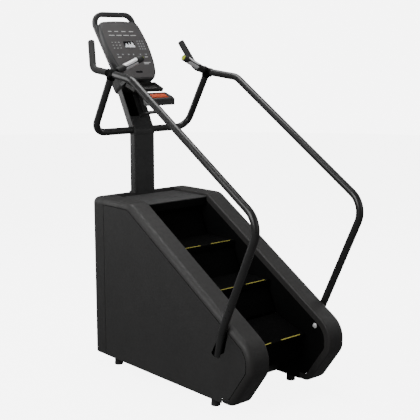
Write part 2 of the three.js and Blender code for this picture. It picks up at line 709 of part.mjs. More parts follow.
const stopGroup = new THREE.Group();
stopGroup.position.set(0, 857.5, 1674.2);
stopGroup.rotation.x = rad(STOP_TILT);
machine.add(stopGroup);
{
  const side = [[819, 1652], [820, 1614], [884, 1613], [905, 1640], [905, 1676], [893, 1692],
    [822, 1656.5]];
  const plan = shapeOf([[-103, 810], [103, 810], [103, 852], [78, 910], [-78, 910], [-103, 852]]);
  const tapered = new THREE.ExtrudeGeometry(plan, { depth: 200, bevelEnabled: false });
  const body = common(across(side, [-103, 103]), tapered.translate(0, 0, 1550));
  const well = block([-72, 72], [-27, 27], [-15, 20]).rotateX(rad(STOP_TILT))
    .translate(...stopGroup.position.toArray());
  addNode('stop_housing', cut(body, well), innerBlack);
  const head = block([-71, 71], [-26, 26], [-10.4, -3]);
  const crown = block([-64, 64], [-20, 20], [-4, 1.5]);
  addNode('stop_button', join(head, crown), orange, stopGroup);

  const arm = [[0, 1035.4, 1539], [0, 1010, 1555], [0, 868.7, 1573], [0, 861.2, 1610]];
  addNode('stop_arm', bar(arm, [40, 26], 11, 10, 4), frameBlack);
}

// ---------------------------------------------------- handlebars and handrails

for (const [label, side] of [['left', -1], ['right', 1]]) {
  const at = (point) => mirrored(point, side);
  const hub = at(HUB);
  const leave = (target) => between(hub, at(target), HUB_REACH + GAP);

  addNode(`${label}_handrail`, railBar(side, RAIL_R), railBlack);
  addNode(`${label}_horn_grip`, bar([leave(HORN_ELBOW), at(HORN_ELBOW), at(HORN_TIP)],
    55, HORN_R, 12, 6), gripRubber);

  const collar = (target) => turned([[0, -8], [COLLAR_R, -8], [COLLAR_R, HUB_REACH], [0, HUB_REACH]],
    hub, at(target), 16);
  const knob = turned([[0, 0], [13, 0], [13, 40], [8, 44], [0, 44]], hub,
    [hub[0] + side * 40, hub[1] - 4, hub[2] - 36], 12);
  addNode(`${label}_clamp`, join(collar(RAIL_BEND_TOP), collar(HORN_ELBOW), collar(PULSE_TIP),
    collar(FRAME_CORNER), knob), innerBlack);

  const r = PULSE_R;
  const [plate0, plate1] = PLATE_AT;
  const start = leave(PULSE_TIP);
  const grip = [[0, 0], [r, 0], [r, plate0], [r - 3, plate0], [r - 3, plate1], [r, plate1],
    [r, 192], [r - 4, 196], [r - 4.6, 196], [r - 4.6, 186], [0, 186]];
  addNode(`${label}_pulse_grip`, turned(grip, start, at(PULSE_TIP), 20), gripRubber);
  const inside = r - 3 + GAP;
  const sleeve = [[inside, plate0 + GAP], [r + 0.6, plate0 + GAP], [r + 0.6, plate1 - GAP],
    [inside, plate1 - GAP], [inside, plate0 + GAP]];
  addNode(`${label}_pulse_plate`, turned(sleeve, start, at(PULSE_TIP), 20), polished);
  const button = [[0, 189], [r - 5, 189], [r - 5, 197], [r - 8, 198.6], [0, 198.6]];
  addNode(`${label}_thumb_button`, turned(button, start, at(PULSE_TIP), 20), lime);
}

{
  const right = FRAME_CORNER;
  const leave = between(HUB, FRAME_CORNER, HUB_REACH + GAP);
  const points = [leave, right, mirrored(right, -1), mirrored(leave, -1)];
  addNode('handlebar_frame', bar(points, 85, RAIL_R, 14, 6), railBlack);
}

// The origin goes under the middle of the whole object
const box = new THREE.Box3().setFromObject(machine, true);
machine.position.y = -(box.min.y + box.max.y) / 2;
machine.position.z = -FLOOR_Z;

const group = new THREE.Group();
group.add(machine);
export default group;
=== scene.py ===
"""Stair climber: the looks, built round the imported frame.

Metres, +X the user's right, +Y ahead of the user, +Z up. Lengths in the tables are in
millimetres of the machine's own layout, whose y = 1000 is the back face of the mast.
"""

import math

import bmesh
import bpy
from mathutils import Matrix, Vector
from mathutils.geometry import tessellate_polygon


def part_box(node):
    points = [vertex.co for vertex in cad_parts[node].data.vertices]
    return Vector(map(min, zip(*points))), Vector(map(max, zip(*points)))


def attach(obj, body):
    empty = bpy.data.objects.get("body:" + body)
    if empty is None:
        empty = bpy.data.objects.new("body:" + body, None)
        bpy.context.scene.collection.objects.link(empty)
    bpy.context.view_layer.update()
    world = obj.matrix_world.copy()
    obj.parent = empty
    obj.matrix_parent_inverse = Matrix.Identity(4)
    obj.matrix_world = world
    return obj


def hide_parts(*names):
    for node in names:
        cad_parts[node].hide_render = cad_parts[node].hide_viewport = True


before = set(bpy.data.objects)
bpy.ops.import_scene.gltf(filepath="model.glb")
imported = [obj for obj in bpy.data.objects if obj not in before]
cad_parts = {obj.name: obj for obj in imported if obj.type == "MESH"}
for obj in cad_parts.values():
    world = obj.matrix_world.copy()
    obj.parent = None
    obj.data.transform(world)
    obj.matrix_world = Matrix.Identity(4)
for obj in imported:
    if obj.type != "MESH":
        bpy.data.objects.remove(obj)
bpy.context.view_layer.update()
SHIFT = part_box("mast")[0].y - 1.0
LIFT = 0.008  # the floor is 8 mm below the layout's zero
GAP = 0.4     # between neighbouring covers, in millimetres
TINY = 1e-6
X = Vector((1, 0, 0))
Z = Vector((0, 0, 1))
SIDES = (("left", -1), ("right", 1))


def at(x, y, z):
    """A layout point in millimetres as a point of the shared frame."""
    return Vector((x / 1000, y / 1000 + SHIFT, z / 1000 + LIFT))


def grey(value):
    return (value, value, value)


def add_object(name, data):
    obj = bpy.data.objects.new(name, data)
    bpy.context.scene.collection.objects.link(obj)
    return obj


def mesh_from(name, bm):
    mesh = bpy.data.meshes.new(name)
    bm.to_mesh(mesh)
    bm.free()
    return mesh


def in_metres(points, side=1):
    return [(side * a / 1000, b / 1000) for a, b in points]


def polar(centre, radius, angle):
    return (centre[0] + radius * math.cos(angle), centre[1] + radius * math.sin(angle))


# ------------------------------ materials

NOISE_LOW, NOISE_HIGH = 0.3, 0.7  # nearly all of a noise texture's values lie between


def finish(name, color, rough, metal=0.0, grain=900, bump=0.12, vary=0.06, wear=0.08,
           coat=0.0, stretch=(1, 1, 1), depth=0.00012, shine=0.5):
    """Procedural finish: fine grain as bump, slow change of colour and roughness."""
    mat = bpy.data.materials.new(name)
    mat.use_nodes = True
    tree = mat.node_tree
    new, link = tree.nodes.new, tree.links.new
    shader = tree.nodes["Principled BSDF"]
    shader.inputs["Metallic"].default_value = metal
    shader.inputs["Specular IOR Level"].default_value = shine
    shader.inputs["Coat Weight"].default_value = coat
    shader.inputs["Coat Roughness"].default_value = 0.12
    where = new("ShaderNodeTexCoord")
    scale = new("ShaderNodeMapping")
    scale.inputs["Scale"].default_value = stretch
    link(where.outputs["Object"], scale.inputs["Vector"])

    def noise(size, detail):
        node = new("ShaderNodeTexNoise")
        node.inputs["Scale"].default_value = size
        node.inputs["Detail"].default_value = detail
        link(scale.outputs["Vector"], node.inputs["Vector"])
        return node.outputs["Fac"]

    fine = noise(grain, 3)
    slow = noise(7, 5)
    tint = new("ShaderNodeValToRGB")
    low, high = tint.color_ramp.elements
    low.position, high.position = NOISE_LOW, NOISE_HIGH
    low.color = [c * (1 - vary) for c in color] + [1]
    high.color = [min(1, c * (1 + vary) + vary * 0.01) for c in color] + [1]
    link(slow, tint.inputs["Fac"])
    link(tint.outputs["Color"], shader.inputs["Base Color"])
    spread = new("ShaderNodeMapRange")
    spread.inputs["From Min"].default_value = NOISE_LOW
    spread.inputs["From Max"].default_value = NOISE_HIGH
    spread.inputs["To Min"].default_value = max(0.02, rough - wear)
    spread.inputs["To Max"].default_value = min(1, rough + wear)
    link(noise(38, 4), spread.inputs["Value"])
    link(spread.outputs["Result"], shader.inputs["Roughness"])
    bumps = new("ShaderNodeBump")
    bumps.inputs["Strength"].default_value = bump
    bumps.inputs["Distance"].default_value = depth
    link(fine, bumps.inputs["Height"])
    link(bumps.outputs["Normal"], shader.inputs["Normal"])
    return mat


def lit(mat, color, strength):
    shader = mat.node_tree.nodes["Principled BSDF"]
    shader.inputs["Emission Color"].default_value = (*color, 1)
    shader.inputs["Emission Strength"].default_value = strength
    return mat


LIT_COLOR = (0.8, 0.82, 0.85)
MAT = {
    "cover": finish("cover_black", (0.026, 0.0258, 0.0255), 0.6, grain=1500, bump=0.35),
    "cover_satin": finish("rim_black", (0.027, 0.0262, 0.0255), 0.56, grain=1500, bump=0.25),
    # Far darker than the covers' black, with little specular: partly the inner parts' own black,
    # partly painted shade of the machine's shadowed inside
    "inner": finish("inner_black", grey(0.0016), 0.66, grain=1100, bump=0.3, shine=0.12),
    # Near-black for the dark strips behind the seams (their own dark joint) and for the mast
    # channel's liner, where it is painted shade
    "joint_and_painted_shade": finish("joint_and_painted_shade_black", grey(0.0015), 0.8, grain=900, bump=0.2, shine=0.05),
    "frame": finish("frame_paint", grey(0.025), 0.38, grain=700, bump=0.2, coat=0.15),
    "rail": finish("rail_paint", grey(0.022), 0.33, grain=1300, bump=0.3, coat=0.1),
    "grip": finish("grip_rubber", grey(0.026), 0.72, grain=600, bump=0.5),
    "rubber": finish("foot_rubber", grey(0.03), 0.85, grain=500, bump=0.5),
    "steel": finish("bare_steel", (0.42, 0.42, 0.43), 0.34, 1.0, grain=420, bump=0.12,
                    stretch=(1, 8, 8)),
    # Light grey with little metal, so the contact plates and sensor cap look bright under any light:
    # partly real bright metal, partly painted reflection
    "bright_metal_painted_reflection": finish("contact_metal_painted_reflection", (0.9, 0.9, 0.91), 0.34, 0.2, grain=300, bump=0.03,
                     vary=0.02, wear=0.04),
    # Far darker than real black plastic, with little specular: the treads' own black plus painted
    # shade of the stairwell
    "tread": finish("tread_black", grey(0.0013), 0.7, grain=380, bump=0.6,
                    depth=0.0003, shine=0.06),
    # Far darker than real black plastic, with little specular: the risers' own black plus painted
    # shade of the stairwell
    "riser": finish("riser_black", grey(0.0014), 0.66, grain=700, bump=0.3, shine=0.08),
    "strip": finish("strip_yellow", (0.62, 0.55, 0.1), 0.6, grain=500, bump=0.5),
    "console": finish("console_grey", (0.036, 0.036, 0.037), 0.4, grain=1500, bump=0.3),
    "overlay": finish("overlay_print", (0.07, 0.066, 0.066), 0.42, grain=900, bump=0.08),
    "smoke": finish("smoked_window", (0.004, 0.004, 0.005), 0.1, grain=300, bump=0.02,
                    coat=0.5),
    "lime": finish("lime_plastic", (0.5, 0.6, 0.03), 0.4, grain=900, bump=0.1),
    "orange": finish("orange_plastic", (0.62, 0.08, 0.02), 0.36, grain=900, bump=0.08),
    "deck": finish("deck_grey", grey(0.06), 0.55, grain=700, bump=0.4),
    "label": finish("label_print", grey(0.62), 0.5, grain=900, bump=0.05),
    "key": finish("key_print", (0.1, 0.1, 0.105), 0.42, grain=900, bump=0.1),
    "copper": finish("contact_copper", (0.6, 0.3, 0.13), 0.3, 1.0, grain=300, bump=0.05),
    "lit": lit(finish("display_lit", LIT_COLOR, 0.4), LIT_COLOR, 0.9),
}


# ------------------------------ shape helpers

def piece(name, bm, mat, body="frame", stands_for=(), sharp=38):
    """Turns a bmesh, in the shared frame, into a piece that rides on a body."""
    bmesh.ops.remove_doubles(bm, verts=bm.verts, dist=TINY)
    outward(bm)
    for face in bm.faces:
        face.smooth = True
    for edge in bm.edges:
        edge.smooth = edge.calc_face_angle(0) < math.radians(sharp)
    obj = add_object(name, mesh_from(name, bm))
    obj.data.materials.append(MAT[mat])
    even = obj.modifiers.new("even_shading", "WEIGHTED_NORMAL")
    even.keep_sharp = True
    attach(obj, body)
    if stands_for:
        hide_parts(*stands_for)
    return obj


def outward(bm):
    bmesh.ops.recalc_face_normals(bm, faces=bm.faces)
    return bm


def merge(*parts):
    """One bmesh out of several."""
    out = bmesh.new()
    for part in parts:
        mesh = mesh_from("part", part)
        out.from_mesh(mesh)
        bpy.data.meshes.remove(mesh)
    return out


def round_over(bm, edges, size, segments):
    bmesh.ops.bevel(bm, geom=edges, offset=size / 1000, segments=segments, profile=0.5,
                    affect="EDGES", clamp_overlap=True)
    return bm


def bevel(bm, size, segments=2, angle=30):
    """Rounds the edges that turn by more than an angle in degrees."""
    edges = [e for e in bm.edges if e.is_manifold and e.calc_face_angle(0) > math.radians(angle)]
    return round_over(bm, edges, size, segments)


def prism(loops, lo, hi, place):
    """Solid between two levels from an outline and its holes; place(a, b, level)."""
    bm = bmesh.new()
    flat = [p for loop in loops for p in loop]
    faces = tessellate_polygon([[Vector((a, b, 0)) for a, b in loop] for loop in loops])
    levels = [[bm.verts.new(place(a, b, level)) for a, b in flat] for level in (lo, hi)]
    for tri in faces:
        for verts in levels:
            bm.faces.new([verts[i] for i in tri])
    start = 0
    for loop in loops:
        count = len(loop)
        for i in range(count):
            j = start + (i + 1) % count
            bm.faces.new([levels[0][start + i], levels[0][j], levels[1][j], levels[1][start + i]])
        start += count
    outward(bm)
    bmesh.ops.dissolve_limit(bm, angle_limit=0.001, verts=bm.verts, edges=bm.edges)
    return bm


def across(loops, x0, x1, size=0.0, segments=2):
    """Outline in y and z carried across from x0 to x1."""
    if not isinstance(loops[0][0], (list, tuple)):
        loops = [loops]
    bm = prism(loops, x0, x1, lambda y, z, x: at(x, y, z))
    return bevel(bm, size, segments) if size else bm


def block(x, y, z, size=1.5, segments=2, turn=None):
    """Box with rounded edges; turn is a matrix for boxes drawn in a turned frame."""
    bm = bmesh.new()
    bmesh.ops.create_cube(bm, size=1)
    spans = [(b - a) / 1000 for a, b in (x, y, z)]
    middle = [(a + b) / 2 for a, b in (x, y, z)]
    bmesh.ops.scale(bm, vec=spans, verts=bm.verts)
    bevel(bm, min(size, min(spans) * 1000 * 0.45), segments)
    if turn is None:
        bmesh.ops.translate(bm, vec=at(*middle), verts=bm.verts)
    else:
        bmesh.ops.translate(bm, vec=Vector(middle) / 1000, verts=bm.verts)
        bmesh.ops.transform(bm, matrix=turn, verts=bm.verts)
    return bm


def lathe(profile, start, towards, steps=40):
    """Turned piece: profile of (radius, distance) in millimetres from start towards a point."""
    bm = bmesh.new()
    start, towards = Vector(start), Vector(towards)
    axis = (towards - start).normalized()
    side = axis.orthogonal().normalized()
    other = axis.cross(side)
    rings = []
    for radius, distance in profile:
        centre = start + axis * distance / 1000
        if radius < TINY:
            rings.append([bm.verts.new(centre)])
            continue
        ring = []
        for k in range(steps):
            a = 2 * math.pi * k / steps
            ring.append(bm.verts.new(centre + (side * math.cos(a) + other * math.sin(a))
                                     * radius / 1000))
        rings.append(ring)
    for one, two in zip(rings, rings[1:]):
        for k in range(steps):
            j = (k + 1) % steps
            corners = [one[k % len(one)], one[j % len(one)], two[j % len(two)],
                       two[k % len(two)]]
            unique = list(dict.fromkeys(corners))
            if len(unique) > 2:
                bm.faces.new(unique)
    for ring in (rings[0], rings[-1]):
        if len(ring) > 2:
            bm.faces.new(ring)
    return outward(bm)


def round_bend(corner, before, after, bend, steps):
    """Places and headings round one corner, between the headings before and after it."""
    turn = before.angle(after)
    side = (after - before * math.cos(turn)).normalized()
    centre = corner - before * bend * math.tan(turn / 2) + side * bend
    out = []
    for k in range(steps + 1):
        c, s = math.cos(turn * k / steps), math.sin(turn * k / steps)
        out.append((centre - side * bend * c + before * bend * s, before * c + side * s))
    return out


def route(points, bends, steps=12):
    """Places and headings along a path through points with rounded corners."""
    pts = [Vector(p) for p in points]
    if not isinstance(bends, (list, tuple)):
        bends = [bends] * (len(pts) - 2)
    out = [(pts[0], (pts[1] - pts[0]).normalized())]
    for i, bend in enumerate(bends, 1):
        before = (pts[i] - pts[i - 1]).normalized()
        after = (pts[i + 1] - pts[i]).normalized()
        out += round_bend(pts[i], before, after, bend, steps)
    out.append((pts[-1], (pts[-1] - pts[-2]).normalized()))
    return out


def skin(bm, rings):
    """Solid through closed rings of equal length."""
    count = len(rings[0])
    for one, two in zip(rings, rings[1:]):
        for k in range(count):
            j = (k + 1) % count
            bm.faces.new([one[k], one[j], two[j], two[k]])
    bm.faces.new(rings[0])
    bm.faces.new(rings[-1])
    return outward(bm)


def sweep(section, frames):
    """Section of (right, up) points, in metres, moved along frames of (origin, right, up)."""
    bm = bmesh.new()
    return skin(bm, [[bm.verts.new(origin + right * a + up * b) for a, b in section]
                     for origin, right, up in frames])


def frames_along(stations, right):
    """Frames that turn with the path as little as they can."""
    right = Vector(right)
    out = []
    for place, heading in stations:
        right = (right - heading * right.dot(heading)).normalized()
        out.append((place, right.copy(), heading.cross(right)))
    return out


def circle(radius, sides):
    return [polar((0, 0), radius / 1000, 2 * math.pi * k / sides) for k in range(sides)]


def rounded(half_x, half_y, radius, steps=5):
    """Rounded rectangle section in metres."""
    out = []
    for cx, cy, start in ((1, 1, 0), (-1, 1, 90), (-1, -1, 180), (1, -1, 270)):
        centre = (cx * (half_x - radius), cy * (half_y - radius))
        for k in range(steps + 1):
            out.append(polar(centre, radius, math.radians(start + 90 * k / steps)))
    return in_metres(out)


def tube(points, bends, radius, steps=12, ends=2.0):
    """Round bar through layout points, its end faces slightly rounded over."""
    sides = 28
    stations = route([at(*p) for p in points], [b / 1000 for b in bends], steps)
    first = stations[0][1]
    right = X if abs(first.x) < 0.9 else Z
    bm = sweep(circle(radius, sides), frames_along(stations, right))
    if ends:
        caps = [f for f in bm.faces if len(f.verts) == sides]
        edges = {e for f in caps for e in f.edges}
        round_over(bm, list(edges), ends, 3)
    return bm


def toward(a, b, distance):
    """The point at a distance from a on the way to b."""
    a, b = Vector(a), Vector(b)
    return a + (b - a).normalized() * distance


# ------------------------------ side housings

PANEL_IN, PANEL_OUT, BOTTOM, RIM_BOTTOM, TOP = 240, 380, 60, 50, 1057
SLOPE, SLOPE_TOP, NOSE, SEAM, RIM_END = 0.6224, 676.7, -375, 932, -150
FRONT = 1070
RIM_RADIUS, RIM_DEPTH, SKIN = 38, 40, 4
SEAM_WIDTH = 2.6


def slope_z(y):
    return TOP + SLOPE * (y - SLOPE_TOP)


CORNERS = [(0, SEAM, TOP), (0, SLOPE_TOP, TOP), (0, NOSE, slope_z(NOSE)), (0, NOSE, 266),
           (0, -222, RIM_BOTTOM), (0, RIM_END, RIM_BOTTOM)]
PATH = route([Vector(p) for p in CORNERS], [90, 150, 95, 75], 16)


def inset(depth, front=SEAM):
    """Side outline, a given depth inside, as (y, z)."""
    out = [(p.y - depth * h.z, p.z + depth * h.y) for p, h in PATH]
    out[0] = (front, out[0][1])
    return out


def rim_section(side):
    """Rim cover across its width: flat outer face, large outer and small inner radius."""
    outer, inner = [], []
    big, lead = RIM_RADIUS, 8
    for k in range(13):
        a = math.pi / 2 * k / 12
        outer.append(polar((PANEL_OUT - big, -big), big, a))
        inner.append(polar((PANEL_OUT - big, -big), big - SKIN, a))
    edge = [polar((PANEL_IN + lead, -lead), lead, math.pi / 2 * (1 + k / 5)) for k in range(6)]
    tail = [(PANEL_IN, -RIM_DEPTH), (PANEL_IN + SKIN, -RIM_DEPTH), (PANEL_IN + SKIN, -lead),
            (PANEL_IN + lead, -SKIN)]
    lip = [(PANEL_OUT - 2, -big), (PANEL_OUT, -big + 2)]
    return in_metres(lip + outer[1:] + edge + tail + inner[::-1], side)


RIM_FRAMES = [(at(0, p.y, p.z), X, h.cross(X)) for p, h in PATH]
POCKET = [(-196, 460), (-168, 352), (-96, 308), (-62, 322), (-118, 420), (-160, 480)]
POCKET_MIDDLE, POCKET_WALL = (-130, 400), 1.006  # the wall's outside as a scaled copy


def soft_loop(points, radius, steps=5):
    """Closed loop of (a, b) points with rounded corners."""
    straight, most = 0.02, 0.45  # least turn in radians; a bend's greatest share of a side
    out = []
    count = len(points)
    for i in range(count):
        a, b, c = (Vector((*points[(i + k) % count], 0)) for k in (-1, 0, 1))
        before, after = (b - a).normalized(), (c - b).normalized()
        turn = before.angle(after)
        if turn < straight:
            out.append((b.x, b.y))
            continue
        bend = min(radius, most * min((b - a).length, (c - b).length) / math.tan(turn / 2))
        out += [(p.x, p.y) for p, _ in round_bend(b, before, after, bend, steps)]
    return out


LOW_AXLE, CHAIN_RUN, PITCH_R = (37.6, 331.2), 1116.5, 48
RUN, RISE = 307, 192
STEP = math.hypot(RUN, RISE)
UP = (RUN / STEP, RISE / STEP)
INTO = (UP[1], -UP[0])
HIGH_AXLE = (LOW_AXLE[0] + CHAIN_RUN * UP[0], LOW_AXLE[1] + CHAIN_RUN * UP[1])


def along(distance, off):
    """Layout (y, z) at a distance up the chain line and off it, into the machine."""
    return (LOW_AXLE[0] + distance * UP[0] + off * INTO[0],
            LOW_AXLE[1] + distance * UP[1] + off * INTO[1])


def loop(radius):
    """Outline round both axles at a radius, as (y, z)."""
    arc = 14
    start = math.atan2(UP[1], UP[0])
    out = []
    for end, turn in ((HIGH_AXLE, -0.5), (LOW_AXLE, 0.5)):
        for k in range(arc + 1):
            out.append(polar(end, radius, start + math.pi * (turn + k / arc)))
    return out


MEMBERS = ((15, 55), (450, 490), (878, 918))
MEMBER_Z = (62, 100)
for label, side in SIDES:
    rim = sweep(rim_section(side), RIM_FRAMES)
    piece(f"{label}_rim", rim, "cover_satin", stands_for=[f"{label}_rim_cover"])

    outline = inset(RIM_DEPTH + 0.6, SEAM - SEAM_WIDTH)
    outline[-1] = (RIM_END + GAP, outline[-1][1])
    outline += [(RIM_END + GAP, BOTTOM), (SEAM - SEAM_WIDTH, BOTTOM)]
    hole = soft_loop(POCKET, 10)
    panel = across([outline, hole], side * (PANEL_OUT - SKIN), side * PANEL_OUT, 1.8)
    piece(f"{label}_panel", panel, "cover", stands_for=[f"{label}_side_panel"])

    # Dark strips behind the seams between panel, rim and front cover
    gasket = sweep(in_metres(((368, -33), (370, -33), (370, -47), (368, -47)), side), RIM_FRAMES)
    upright = block(sorted((side * 368, side * 370)), (926, 940), (64, 1014))
    piece(f"{label}_seam_gasket", merge(gasket, upright), "joint_and_painted_shade")

    # Recess in the panel for the handrail's end: a floor and a wall round it, in the near-black
    # inner material, which also paints the recess's shade
    edge = [tuple(m + POCKET_WALL * (c - m) for c, m in zip(spot, POCKET_MIDDLE))
            for spot in hole]
    liner = across([edge, hole], side * 356, side * 378)
    floor = across([edge], side * 353.5, side * 355.6)
    piece(f"{label}_pocket", merge(liner, floor), "inner")

    skirt = inset(RIM_DEPTH + GAP, 990)
    skirt[-1] = (RIM_END + GAP, skirt[-1][1])
    skirt += [(RIM_END + GAP, RIM_BOTTOM), (990, RIM_BOTTOM)]
    low, high = MEMBER_Z[0] - GAP, MEMBER_Z[1] + GAP
    ways = [[(a - GAP, low), (b + GAP, low), (b + GAP, high), (a - GAP, high)]
            for a, b in MEMBERS]
    inner = across([skirt, loop(PITCH_R + 14), *ways], side * PANEL_IN,
                   side * (PANEL_IN + SKIN), 0.6)
    piece(f"{label}_inner", inner, "inner", stands_for=[f"{label}_inner_panel"])

    # Bead round the slot that the step pins run in
    ring = across([loop(PITCH_R + 19), loop(PITCH_R + 14.5)], side * 237.4, side * 239.7, 0.6)
    piece(f"{label}_slot_bead", ring, "riser")


def u_line(less, z):
    """Front cover's outline at one height, inset by less, from one side seam to the other."""
    corner, steps = 60, 10
    out = [(-PANEL_OUT + less, SEAM + GAP, z)]
    for cx, start in ((-1, 180), (1, 90)):
        for k in range(steps + 1):
            spot = polar((cx * (PANEL_OUT - corner), FRONT - corner), corner - less,
                         math.radians(start - 90 * k / steps))
            out.append((*spot, z))
    out.append((PANEL_OUT - less, SEAM + GAP, z))
    return out


def front_cover():
    """Front shroud: upright skin with a rounded top edge, notched for deck and mast."""
    bm = bmesh.new()
    levels = [(1.6, BOTTOM), (0, BOTTOM + 1.6), (0, TOP - RIM_RADIUS)]
    for k in range(1, 11):
        a = math.pi / 2 * k / 10
        levels.append((RIM_RADIUS * (1 - math.cos(a)), TOP - RIM_RADIUS * (1 - math.sin(a))))
    rows = [[bm.verts.new(at(*p)) for p in u_line(*level)] for level in levels]
    for low, high in zip(rows, rows[1:]):
        for k in range(len(low) - 1):
            bm.faces.new([low[k], low[k + 1], high[k + 1], high[k]])
    notch = [(PANEL_IN, SEAM + GAP), (PANEL_IN, 999.6), (80.5, 999.6), (80.5, 1053.5)]
    notch += [(-x, y) for x, y in notch[::-1]]
    rim = [(x, y) for x, y, _ in u_line(RIM_RADIUS, TOP)] + notch
    top = rows[-1] + [bm.verts.new(at(x, y, TOP)) for x, y in notch]
    for tri in tessellate_polygon([[Vector((x, y, 0)) for x, y in rim]]):
        bm.faces.new([top[i] for i in tri])
    low = [bm.verts.new(at(x, y, TOP - 34)) for x, y in notch]
    high = top[len(rows[-1]):]
    for k in range(len(notch) - 1):
        bm.faces.new([high[k], high[k + 1], low[k + 1], low[k]])
    bmesh.ops.remove_doubles(bm, verts=bm.verts, dist=TINY)
    outward(bm)
    bmesh.ops.solidify(bm, geom=bm.faces[:], thickness=0.004)
    return bm


piece("front_shroud", front_cover(), "cover", stands_for=["front_cover"])


def deck_profile():
    """Deck in (y, z) from back to front: plain strip, groove, fine ribs, plain strip."""
    top, under = 1038, 1032
    points = [(675, under), (675, top - 3), (676, top - 1), (678, top)]
    points += [(783, top), (784, top - 2.4), (787, top - 2.4), (788, top)]
    y = 792
    while y < 985:
        points += [(y, top - 1.3), (y + 1.6, top), (y + 4.2, top), (y + 5.6, top - 1.3)]
        y += 7
    points += [(y, top - 1.3), (y + 1.5, top), (998.4, top), (998.4, under)]
    return points


piece("deck_plate", across(deck_profile(), -239.4, 239.4), "deck",
      stands_for=["top_deck"], sharp=25)
piece("deck_lip", block((-239.4, 239.4), (675, 681), (985, 1031.8), 1.2), "riser")


# ------------------------------ the steps

HALF = 228
RIB = 12
COMB = [i * RIB for i in range(-18, 19)]
HINGE_BACK, HINGE_DROP = 256, 18  # step rod from the nose


def tread(place):
    """Tread in its own frame (x, a back from the nose, b up); place moves it."""
    profile = [(0, -26), (0, -3), (0.6, -1.1), (2, -0.2), (3.6, 0), (244, 0), (246, -2),
               (246, -10), (258, -10), (260, -12), (260, -22), (258, -24), (9, -24), (9, -30),
               (7, -31), (2, -30)]
    parts = [prism([profile], -HALF, HALF, lambda a, b, x: place(x, a, b))]
    for x in COMB:
        tooth = [(x - 4.2, -25), (x + 4.2, -25), (x + 3, -38), (x - 3, -38)]
        parts.append(prism([tooth], 0.4, 7.4, lambda u, v, a: place(u, a, v)))
        rib = [(x - 3.4, -0.4), (x + 3.4, -0.4), (x + 2.5, 1.1), (x - 2.5, 1.1)]
        parts.append(prism([rib], 30, 238, lambda u, v, a: place(u, a, v)))
    for x in (-HALF + 6, HALF - 6):
        cheek = [(3, -34), (3, -2), (246, -2), (258, -10), (258, -27), (12, -27), (8, -34)]
        parts.append(prism([cheek], x - 2, x + 2, lambda a, b, u: place(u, a, b)))
    return merge(*parts)


def rod(place):
    """Step rod with a thicker end in each chain."""
    half = 254.4
    end = [(0, 0), (7, 0), (8, 1), (8, 12), (6.4, 13)]
    profile = end + [(r, 2 * half - d) for r, d in end[::-1]]
    return lathe(profile, *[place(x, HINGE_BACK, -HINGE_DROP) for x in (-half, half)], steps=24)


def strips(stem, place, body):
    """The two yellow strips near a tread's nose."""
    length, near, far = 156, 3.5, 9.5
    for name, x in (("a", -196), ("b", 40)):
        outline = soft_loop([(x, near), (x + length, near), (x + length, far), (x, far)], 3)
        piece(f"{stem}_{name}", prism([outline], -0.2, 1.3, place), "strip", body)


def riser(place, low):
    """Riser below a nose, from under the tread down to the low point (a, b)."""
    back = [(9.6, -44), (9.6, -25)]
    face = [low] + back + [(15, -25), (15, -46), (low[0] + 6, low[1])]
    parts = [prism([face], 4 - HALF, HALF - 4, lambda a, b, x: place(x, a, b))]
    top, end = Vector((9.6, -46)), Vector(low)
    down = (end - top).normalized()
    normal = Vector((down.y, -down.x))
    for x in COMB:
        a, b = top + down * 3, end - down * 3
        rib = [tuple(a - normal * 0.3), tuple(a + normal * 2.1), tuple(b + normal * 2.1),
               tuple(b - normal * 0.3)]
        parts.append(prism([rib], x - 2.6, x + 2.6, lambda p, q, u: place(u, p, q)))
    return merge(*parts)


def placed(y, z, tilt=0.0):
    """Step frame with its nose at y, z, turned up by a tilt in radians."""
    c, s = math.cos(tilt), math.sin(tilt)
    return lambda x, a, b: at(x, y + a * c - b * s, z + a * s + b * c)


def step(stem, plate, strip_stem, put, body, node, low=None):
    """One step's pieces; a step with a low point has a riser down to it."""
    piece(plate, tread(put), "tread", body, [node], 20)
    piece(f"{stem}_rod", rod(put), "steel", body)
    if low:
        piece(f"{stem}_riser", riser(put, low), "riser", body,
              [node.replace("tread", "riser")], 20)
    strips(strip_stem, put, body)


for label, nose, low in (("upper", (710, 990), (-60, -198)), ("middle", (403, 798), (-60, -198)),
                         ("lower", (96, 606), (-52.5, -181))):
    name = f"{label}_step"
    step(name, name, f"{label}_strip", placed(*nose), "stair_train", f"{label}_tread", low)

step("bottom_step", "bottom_step_plate", "bottom_strip", placed(-194, 335, math.radians(18.3)),
     "bottom_step", "bottom_tread", (-29, -130))

SLANT = math.atan2(UP[1], UP[0])
for i, distance in enumerate((161.3, 523.4, 885.5), 1):
    hy, hz = along(distance, PITCH_R)
    put = placed(hy - HINGE_BACK * UP[0] - HINGE_DROP * UP[1],
                 hz - HINGE_BACK * UP[1] + HINGE_DROP * UP[0], SLANT)
    name = f"returning_step_{i}"
    step(name, name, f"returning_strip_{i}", put, "return_train", f"return_tread_{i}")


# ------------------------------ chains and drive

def chain_line(distance):
    """Place and heading on the chain's pitch line, in (y, z)."""
    arc = math.pi * PITCH_R
    if distance < CHAIN_RUN:
        return along(distance, PITCH_R), SLANT
    distance -= CHAIN_RUN
    if distance < arc:
        a = SLANT - math.pi / 2 + distance / PITCH_R
        return polar(HIGH_AXLE, PITCH_R, a), a + math.pi / 2
    distance -= arc
    if distance < CHAIN_RUN:
        return along(CHAIN_RUN - distance, -PITCH_R), SLANT + math.pi
    a = SLANT + math.pi / 2 + (distance - CHAIN_RUN) / PITCH_R
    return polar(LOW_AXLE, PITCH_R, a), a + math.pi / 2


def link_shape(length, height):
    """Waisted link plate."""
    out = []
    r, waist = height / 2, height * 0.36
    for end in (1, -1):
        for k in range(7):
            start = -70 if end > 0 else 110
            out.append(polar((end * length / 2, 0), r, math.radians(start + 140 * k / 6)))
        out.append((0, end * waist))
    return out


